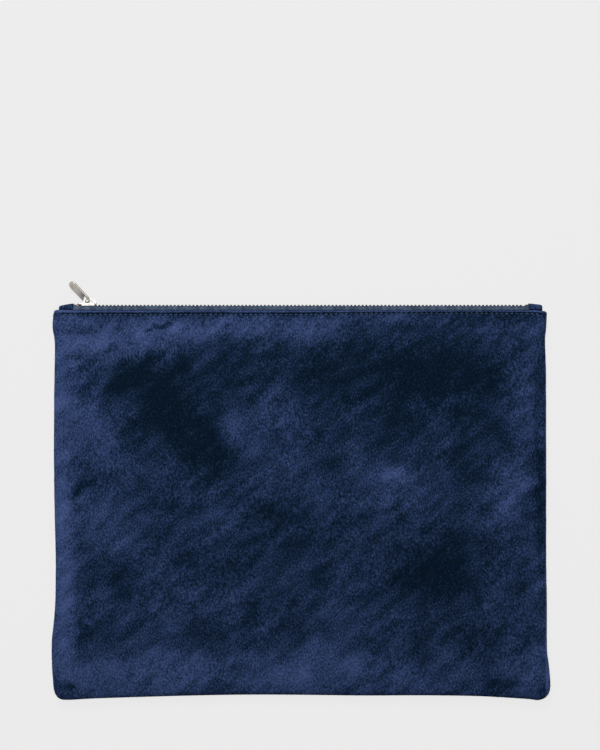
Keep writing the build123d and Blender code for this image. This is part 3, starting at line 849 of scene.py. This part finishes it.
tooth = {
    "thick": 1.15, "bevel": 0.14, "hole": 0.68, "count": 118, "jitter": 0.025,
    # the upper half of the outline, across and out, from the slot round the crown to the nose
    "slotAngles": [180, 150, 120, 90, 60, 27],
    "crown": [(2.86, 0.31), (2.95, 0.42), (2.95, 0.72), (2.86, 0.96), (2.62, 1.13), (2.25, 1.2),
              (1.8, 1.18), (1.4, 1.08), (1.05, 0.92)],
    "nose": [(0.7, 0.8), (0.2, 0.76), (-0.4, 0.76), (-0.75, 0.68), (-0.92, 0.42)],
    "tip": (-0.95, 0.0),
    # wear and painted highlight, lighter tips and edges: from this height on, its gain, and how much more
    # on a bevelled edge and at the heel
    "wearFrom": 0.72, "wearGain": 1.6, "wearBevel": 0.25, "wearHeel": 0.3,
}


def toothOutline():
    slot = [(tape["cord"] + tooth["hole"] * cos(a), tooth["hole"] * sin(a))
            for a in np.radians(tooth["slotAngles"])]
    half = slot + tooth["crown"] + tooth["nose"]
    return np.array(half + [tooth["tip"]] + [(c, -n) for c, n in reversed(half[1:])])


def buildTeeth(name, node, side):
    profile = toothOutline()
    inward = leftward(np.concatenate([profile[-1:], profile, profile[:1]]))[1:-1]
    thick, bevel = tooth["thick"], tooth["bevel"]
    sections = [(-0.5, bevel), (-0.5 + bevel / thick * 0.35, bevel * 0.3), (-0.5 + bevel / thick, 0.0)]
    sections += [(-share, inset) for share, inset in reversed(sections)]
    low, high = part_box(node)
    first = low.x / mm + thick / 2
    pitch = ((high - low).x / mm - thick) / (tooth["count"] - 1)
    dice = random.Random(side + 11)
    verts, faces, wear = [], [], []
    for i in range(tooth["count"]):
        start = len(verts)
        jitter = dice.uniform(-tooth["jitter"], tooth["jitter"])
        for share, inset in sections:
            for (c, n), (ic, inn) in zip(profile, inward):
                c, n = c + ic * inset, n + inn * inset
                verts.append(chainPoint(first + pitch * i + share * thick + jitter, side * c, n))
                # the crowns, bevelled edges and heels are painted lighter: wear, together with painted
                # highlight on the tips and edges
                wearAndHighlight = max(0.0, abs(n) - tooth["wearFrom"]) * tooth["wearGain"]
                wearAndHighlight += tooth["wearBevel"] if inset > 0.05 else 0
                wear.append(wearAndHighlight + (tooth["wearHeel"] if c > 2.8 else 0))
        faces += tubeFaces(start, len(sections), len(profile))
    piece = meshPiece(name, verts, faces)
    keepValue(piece, "wear", np.array(wear))
    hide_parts(node)
    return piece


teethFront = buildTeeth("teethFront", "front_teeth", 1)
teethBack = buildTeeth("teethBack", "back_teeth", -1)
print("teeth:", tooth["count"], "in each row")


# the machined parts keep their shape and get soft edges

softEdge = {"angle": 34, "stops": (0.1, 2), "slider": (0.12, 3)}  # degrees, then width and segments
stopParts = [nodes[node] for node in ("front_top_stop", "back_top_stop", "bottom_stop")]
sliderParts = [nodes[node] for node in ("slider_body", "slider_bail", "pull_tab")]


def softenEdges(parts, width, segments):
    for part in parts:
        soft = part.modifiers.new("soft edges", "BEVEL")
        soft.width = width * mm
        soft.segments = segments
        soft.limit_method = "ANGLE"
        soft.angle_limit = radians(softEdge["angle"])
        part.modifiers.new("even shading", "WEIGHTED_NORMAL")


softenEdges(stopParts, *softEdge["stops"])
softenEdges(sliderParts, *softEdge["slider"])


# shared effects

def newGroup(name, values, outputs):
    # every group takes a position and some values, and gives numbers
    group = bpy.data.node_groups.new(name, "ShaderNodeTree")
    group.interface.new_socket("Position", in_out="INPUT", socket_type="NodeSocketVector")
    for label, value in values.items():
        socket = group.interface.new_socket(label, in_out="INPUT", socket_type="NodeSocketFloat")
        socket.default_value = value
    for label in outputs:
        group.interface.new_socket(label, in_out="OUTPUT", socket_type="NodeSocketFloat")
    return group, group.nodes.new("NodeGroupInput"), group.nodes.new("NodeGroupOutput")


def feed(tree, socket, value):
    if isinstance(value, (int, float)):
        socket.default_value = value
    elif value is not None:
        tree.links.new(value, socket)


def mathNode(tree, operation, a, b=None, limited=False):
    node = tree.nodes.new("ShaderNodeMath")
    node.operation = operation
    node.use_clamp = limited
    feed(tree, node.inputs[0], a)
    feed(tree, node.inputs[1], b)
    return node.outputs[0]


def plus(tree, a, b, limited=False):
    return mathNode(tree, "ADD", a, b, limited)


def times(tree, a, b):
    return mathNode(tree, "MULTIPLY", a, b)


def spread(tree, value, gain):
    # noise stays near its middle, so this widens it and moves its middle to zero
    return times(tree, mathNode(tree, "SUBTRACT", value, 0.5), gain)


def noiseNode(tree, vector, scale, detail, rough):
    node = tree.nodes.new("ShaderNodeTexNoise")
    for label, value in (("Scale", scale), ("Detail", detail), ("Roughness", rough), ("Vector", vector)):
        feed(tree, node.inputs[label], value)
    return node.outputs["Fac"]


def stretched(tree, vector, scale, turn):
    node = tree.nodes.new("ShaderNodeMapping")
    node.inputs["Scale"].default_value = scale
    node.inputs["Rotation"].default_value = turn
    tree.links.new(vector, node.inputs["Vector"])
    return node.outputs["Vector"]


def rampNode(tree, value, stops):
    node = tree.nodes.new("ShaderNodeValToRGB")
    ramp = node.color_ramp
    while len(ramp.elements) < len(stops):
        ramp.elements.new(0.5)
    for element, (place, colour) in zip(ramp.elements, stops):
        element.position = place
        element.color = (*colour, 1)
    tree.links.new(value, node.inputs["Fac"])
    return node.outputs["Color"]


# noises: scale, detail and roughness
effects = {
    "fibreLean": ((1.0, 0.62, 1.0), (0, 0, radians(-32))),
    "fibreNoise": (3.0, 0.62), "clumpNoise": (3.0, 0.6),
    "fluff": (0.65, 0.35),  # shares of grain and clumps
    "twillThreads": 6200.0,
    "scratchStretch": ((1.0, 14.0, 9.0), (0.3, 0.2, 0.9)),
    "scratchNoise": (520.0, 4.0, 0.7), "smudgeNoise": (420.0, 3.0, 0.55),
}


def makeFibreGroup():
    # short felted fibres: a fine grain, clumps of it, and both together
    values = {"Grain": 700.0, "Clump": 260.0}
    group, start, end = newGroup("felted fibres", values, ["Grain", "Clumps", "Fluff"])
    lean = stretched(group, start.outputs["Position"], *effects["fibreLean"])
    grain = noiseNode(group, lean, start.outputs["Grain"], *effects["fibreNoise"])
    clumps = noiseNode(group, lean, start.outputs["Clump"], *effects["clumpNoise"])
    grainShare, clumpShare = effects["fluff"]
    fluff = plus(group, times(group, grain, grainShare), times(group, clumps, clumpShare))
    for value, label in ((grain, "Grain"), (clumps, "Clumps"), (fluff, "Fluff")):
        group.links.new(value, end.inputs[label])
    return group


def makeTwillGroup():
    # diagonal ribs of a woven tape and the yarns in them
    values = {"Threads": effects["twillThreads"]}
    group, start, end = newGroup("twill weave", values, ["Ribs", "Yarn"])
    split = group.nodes.new("ShaderNodeSeparateXYZ")
    group.links.new(start.outputs["Position"], split.inputs[0])
    rise = mathNode(group, "SUBTRACT", split.outputs["Y"], split.outputs["Z"])
    warp = times(group, split.outputs["X"], start.outputs["Threads"])
    weft = times(group, rise, start.outputs["Threads"])
    ribs = mathNode(group, "SINE", plus(group, warp, weft))
    yarn = mathNode(group, "SINE", times(group, warp, 2.0))
    for value, label in ((ribs, "Ribs"), (yarn, "Yarn")):
        group.links.new(plus(group, times(group, value, 0.5), 0.5), end.inputs[label])
    return group


def makeWearGroup():
    # handling marks on metal: hairline scratches and cloudy smudges
    size, detail, rough = effects["smudgeNoise"]
    group, start, end = newGroup("handling wear", {"Smudge Size": size}, ["Scratches", "Smudges"])
    fine = stretched(group, start.outputs["Position"], *effects["scratchStretch"])
    smudges = noiseNode(group, start.outputs["Position"], start.outputs["Smudge Size"], detail, rough)
    group.links.new(noiseNode(group, fine, *effects["scratchNoise"]), end.inputs["Scratches"])
    group.links.new(smudges, end.inputs["Smudges"])
    return group


fibreGroup = makeFibreGroup()
twillGroup = makeTwillGroup()
wearGroup = makeWearGroup()


def newMaterial(name):
    material = bpy.data.materials.new(name)
    material.use_nodes = True
    return material, material.node_tree, material.node_tree.nodes["Principled BSDF"]


def setInputs(node, values):
    for label, value in values.items():
        node.inputs[label].default_value = value


def useGroup(tree, group, values=None):
    node = tree.nodes.new("ShaderNodeGroup")
    node.node_tree = group
    tree.links.new(tree.nodes.new("ShaderNodeTexCoord").outputs["Object"], node.inputs["Position"])
    setInputs(node, values or {})
    return node


def addBump(tree, shader, height, distance):
    bump = tree.nodes.new("ShaderNodeBump")
    bump.inputs["Distance"].default_value = distance
    tree.links.new(height, bump.inputs["Height"])
    tree.links.new(bump.outputs["Normal"], shader.inputs["Normal"])


def heldValue(tree, label):
    node = tree.nodes.new("ShaderNodeAttribute")
    node.attribute_name = label
    return node.outputs["Fac"]


suedeLook = {
    # the nap's colours from smoothed down to brushed up; span leaves room above for the lightest fibres
    "stops": [(0.0, (0.0012, 0.0066, 0.0160)), (0.23, (0.0058, 0.0160, 0.0410)),
              (0.42, (0.0172, 0.0345, 0.0930)), (0.77, (0.0520, 0.0830, 0.2150)),
              (1.0, (0.0820, 0.1180, 0.2800))],
    "span": 0.77, "grainGain": 2.05, "clumpGain": 0.2,
    "fibres": {"Grain": 1100.0, "Clump": 330.0},
    "rough": (0.2, 0.78),  # how much the grain changes the roughness, and its least
    "bump": 0.0003,
    "shader": {"Specular IOR Level": 0.04, "Sheen Weight": 0.06, "Sheen Roughness": 0.4,
               "Sheen Tint": (0.2, 0.32, 0.8, 1)},
}


def suedeMaterial(name, lift):
    material, tree, shader = newMaterial(name)
    fibres = useGroup(tree, fibreGroup, suedeLook["fibres"])
    detail = plus(tree, spread(tree, fibres.outputs["Grain"], suedeLook["grainGain"]),
                  spread(tree, fibres.outputs["Clumps"], suedeLook["clumpGain"]))
    value = plus(tree, plus(tree, heldValue(tree, "napAndPaintedLight"), lift), detail)
    value = times(tree, value, suedeLook["span"])
    tree.links.new(rampNode(tree, value, suedeLook["stops"]), shader.inputs["Base Color"])
    gain, least = suedeLook["rough"]
    rough = plus(tree, times(tree, fibres.outputs["Grain"], gain), least)
    tree.links.new(rough, shader.inputs["Roughness"])
    setInputs(shader, suedeLook["shader"])
    addBump(tree, shader, fibres.outputs["Fluff"], suedeLook["bump"])
    return material


threadLook = {
    "stops": [(0.3, (0.020, 0.040, 0.080)), (0.72, (0.085, 0.145, 0.260))],
    "fibres": {"Grain": 5000.0, "Clump": 240.0},
    "bump": 0.00003,
    "shader": {"Roughness": 0.55, "Specular IOR Level": 0.3},
}


def threadMaterial():
    material, tree, shader = newMaterial("sewing thread")
    fibres = useGroup(tree, fibreGroup, threadLook["fibres"])
    colour = rampNode(tree, fibres.outputs["Fluff"], threadLook["stops"])
    tree.links.new(colour, shader.inputs["Base Color"])
    setInputs(shader, threadLook["shader"])
    addBump(tree, shader, fibres.outputs["Grain"], threadLook["bump"])
    return material


tapeLook = {
    "dark": (0.030, 0.048, 0.078), "light": (0.135, 0.190, 0.310), "ribs": 0.35, "yarn": 0.15,
    "clumpGain": 1.6,
    "fibres": {"Grain": 2600.0, "Clump": 330.0},
    "bump": 0.00012,
    "shader": {"Roughness": 0.85, "Specular IOR Level": 0.15},
}


def tapeMaterial(name, brightness):
    material, tree, shader = newMaterial(name)
    weave = useGroup(tree, twillGroup)
    fibres = useGroup(tree, fibreGroup, tapeLook["fibres"])
    value = plus(tree, times(tree, weave.outputs["Ribs"], tapeLook["ribs"]),
                 spread(tree, fibres.outputs["Clumps"], tapeLook["clumpGain"]))
    value = plus(tree, value, times(tree, weave.outputs["Yarn"], tapeLook["yarn"]), True)
    light = tuple(c * brightness for c in tapeLook["light"])
    colour = rampNode(tree, value, [(0.0, tapeLook["dark"]), (1.0, light)])
    tree.links.new(colour, shader.inputs["Base Color"])
    setInputs(shader, tapeLook["shader"])
    addBump(tree, shader, weave.outputs["Ribs"], tapeLook["bump"])
    return material


metalLook = {
    # each metal: light colour, dark colour and roughness
    "teeth": ((0.12, 0.115, 0.11), (0.016, 0.018, 0.022), 0.32),
    "stops": ((0.11, 0.105, 0.10), (0.03, 0.03, 0.032), 0.32),
    "slider": ((0.71, 0.67, 0.61), (0.52, 0.48, 0.44), 0.29),
    "marks": (0.6, 0.4),  # shares of smudges and scratches in the colour
    "span": (0.36, 0.62), "smudgeRough": 0.2, "bump": 0.00001,
}


def metalMaterial(name, kind, wearLabel=None):
    light, dark, rough = metalLook[kind]
    material, tree, shader = newMaterial(name)
    wear = useGroup(tree, wearGroup)
    smudges, scratches = wear.outputs["Smudges"], wear.outputs["Scratches"]
    smudgeShare, scratchShare = metalLook["marks"]
    value = plus(tree, times(tree, smudges, smudgeShare), times(tree, scratches, scratchShare))
    start, end = metalLook["span"]
    # on the teeth the held value lightens the crowns, bevelled edges and heels: wear, together with
    # painted highlight
    if wearLabel:  # rubbed bright where it is handled
        value = plus(tree, spread(tree, value, 1.0), heldValue(tree, wearLabel), True)
        start, end = 0.0, 1.0
    tree.links.new(rampNode(tree, value, [(start, dark), (end, light)]), shader.inputs["Base Color"])
    rough = plus(tree, times(tree, smudges, metalLook["smudgeRough"]), rough)
    tree.links.new(rough, shader.inputs["Roughness"])
    shader.inputs["Metallic"].default_value = 1.0
    addBump(tree, shader, scratches, metalLook["bump"])
    return material


def dress(pieces, material):
    for piece in pieces:
        piece.data.materials.clear()
        piece.data.materials.append(material)


dress([frontSuede, backSuede, looseFibres], suedeMaterial("brushed navy suede", 0.0))
dress([tabLeft, tabRight], suedeMaterial("suede tab", 0.13))
dress([stitchFront, stitchBack, bobbinFront, bobbinBack, seamFront, seamBack], threadMaterial())
dress([tapeFront, tapeBack], tapeMaterial("twill tape", 1.0))
dress([cordFront, cordBack], tapeMaterial("laid cord", 0.7))
dress([teethFront, teethBack], metalMaterial("dark nickel teeth", "teeth", "wear"))
dress(stopParts, metalMaterial("dark nickel stops", "stops"))
dress(sliderParts, metalMaterial("bright nickel", "slider"))
print("materials made")


# studio

studio = {
    "floor": 0.843,
    "lit": 0.07,  # how much of the floor's look comes from the light that falls on it
    "floorReach": 12.0,  # in metres, like the lamp's values
    "keyPlace": (-0.2, 1.12, 1.03), "keyTarget": (0, 0.05, 0), "keySize": 0.55, "keyPower": 17.5,
    "roomPower": 0.62,
    # the room overhead: how bright it is at each height, from below to straight up
    "room": [(0.0, 0.60), (0.5, 0.55), (0.58, 0.22), (0.70, 0.22), (0.80, 0.72), (1.0, 0.66)],
    "view": (-0.7, 85.3),  # the camera: what it looks at, how wide it sees and from how far, in mm
    "viewWidth": 398.1, "distance": 950.0, "sensor": 36, "clipEnd": 20,
}
paleColour = (studio["floor"], studio["floor"], studio["floor"], 1)


def mixShaders(tree, share, first, second, output):
    mix = tree.nodes.new("ShaderNodeMixShader")
    tree.links.new(share, mix.inputs["Fac"])
    tree.links.new(first.outputs[0], mix.inputs[1])
    tree.links.new(second.outputs[0], mix.inputs[2])
    tree.links.new(mix.outputs[0], tree.nodes[output].inputs["Surface"])


def makeFloor():
    mesh = bpy.data.meshes.new("floor")
    reach = studio["floorReach"]
    corners = [(-reach, -reach, 0), (reach, -reach, 0), (reach, reach, 0), (-reach, reach, 0)]
    mesh.from_pydata(corners, [], [(0, 1, 2, 3)])
    floor = addObject("floor", mesh)
    material, tree, shader = newMaterial("pale floor")
    setInputs(shader, {"Base Color": paleColour, "Roughness": 0.95, "Specular IOR Level": 0.0})
    glow = tree.nodes.new("ShaderNodeEmission")
    glow.inputs["Color"].default_value = paleColour
    rays = tree.nodes.new("ShaderNodeLightPath")
    seen = mathNode(tree, "MAXIMUM", rays.outputs["Is Camera Ray"], rays.outputs["Is Glossy Ray"])
    mixShaders(tree, times(tree, seen, 1 - studio["lit"]), shader, glow, "Material Output")
    mesh.materials.append(material)


def makeRoom():
    world = bpy.data.worlds.new("studio")
    bpy.context.scene.world = world
    world.use_nodes = True
    tree = world.node_tree
    split = tree.nodes.new("ShaderNodeSeparateXYZ")
    tree.links.new(tree.nodes.new("ShaderNodeTexCoord").outputs["Generated"], split.inputs[0])
    height = plus(tree, times(tree, split.outputs["Z"], 0.5), 0.5)
    room = tree.nodes["Background"]
    brightness = rampNode(tree, height, [(place, (v, v, v)) for place, v in studio["room"]])
    tree.links.new(brightness, room.inputs["Color"])
    # reflections see the room at full strength, and the camera sees only the pale colour
    rays = tree.nodes.new("ShaderNodeLightPath")
    shiny = times(tree, rays.outputs["Is Glossy Ray"], 1 - studio["roomPower"])
    tree.links.new(plus(tree, shiny, studio["roomPower"]), room.inputs["Strength"])
    backdrop = tree.nodes.new("ShaderNodeBackground")
    backdrop.inputs["Color"].default_value = paleColour
    mixShaders(tree, rays.outputs["Is Camera Ray"], room, backdrop, "World Output")


def addLamp(name, place, target, size, power):
    data = bpy.data.lights.new(name, "AREA")
    data.size = size
    data.energy = power
    lamp = addObject(name, data)
    lamp.location = place
    lamp.rotation_euler = (Vector(target) - Vector(place)).to_track_quat("-Z", "Y").to_euler()


makeFloor()
makeRoom()
addLamp("key", studio["keyPlace"], studio["keyTarget"], studio["keySize"], studio["keyPower"])

cameraData = bpy.data.cameras.new("camera")
camera = addObject("camera", cameraData)
cameraData.sensor_fit = "HORIZONTAL"
cameraData.sensor_width = studio["sensor"]
cameraData.lens = studio["sensor"] * studio["distance"] / studio["viewWidth"]
cameraData.clip_end = studio["clipEnd"]
camera.location = Vector((*studio["view"], studio["distance"] + 2 * pouchShape["halfThick"])) * mm
bpy.context.scene.camera = camera
bpy.context.scene.view_settings.view_transform = "Standard"
